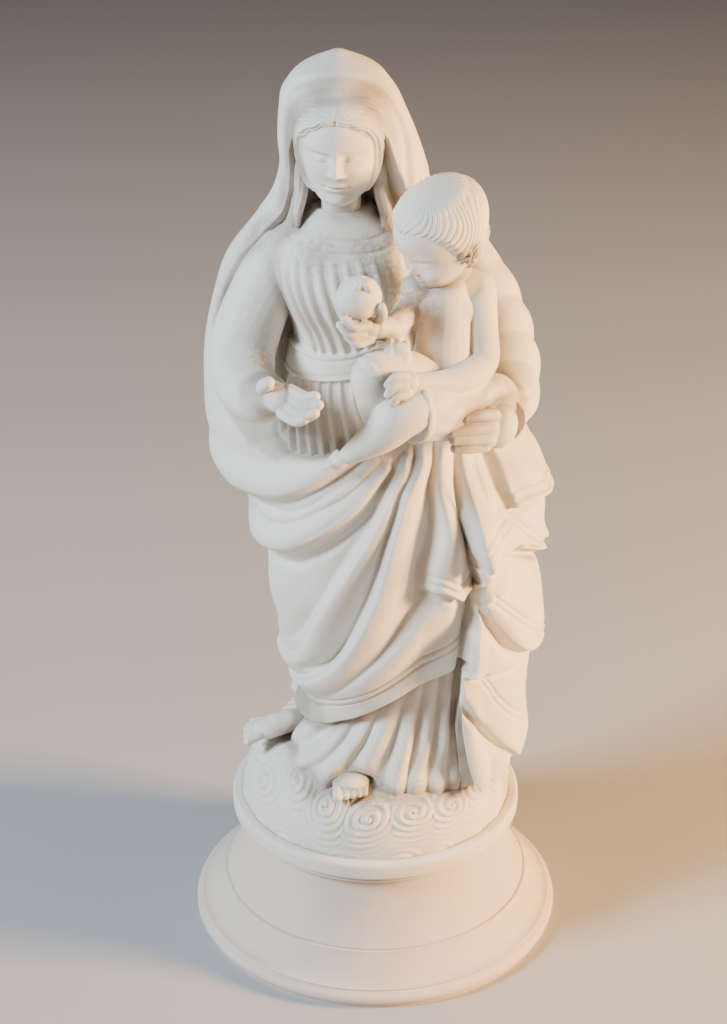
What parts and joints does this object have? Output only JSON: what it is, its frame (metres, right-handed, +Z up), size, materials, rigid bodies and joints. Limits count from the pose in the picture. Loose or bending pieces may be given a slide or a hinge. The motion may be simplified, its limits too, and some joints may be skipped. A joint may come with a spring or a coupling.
{
  "type": "virgin and child statuette",
  "caption": "Standing veiled woman holding a seated child, in unglazed white porcelain, on a cloud-covered round foot over a wide turned socle.",
  "frame": {"origin": "centre of the socle's underside, on the surface that the statuette stands on", "axes": "+Z up, the figure faces -Y, +X to the viewer's right"},
  "size_m": [0.174, 0.174, 0.4218],
  "materials": {
    "porcelain_figure": "unglazed ivory-white porcelain, matte, with dust in the hollows",
    "porcelain_socle": "unglazed porcelain, a little pinker than the figure, matte, finely specked"
  },
  "bodies": {
    "root": {"virgin_and_child": "porcelain_figure", "socle": "porcelain_socle"}
  },
  "joints": []
}
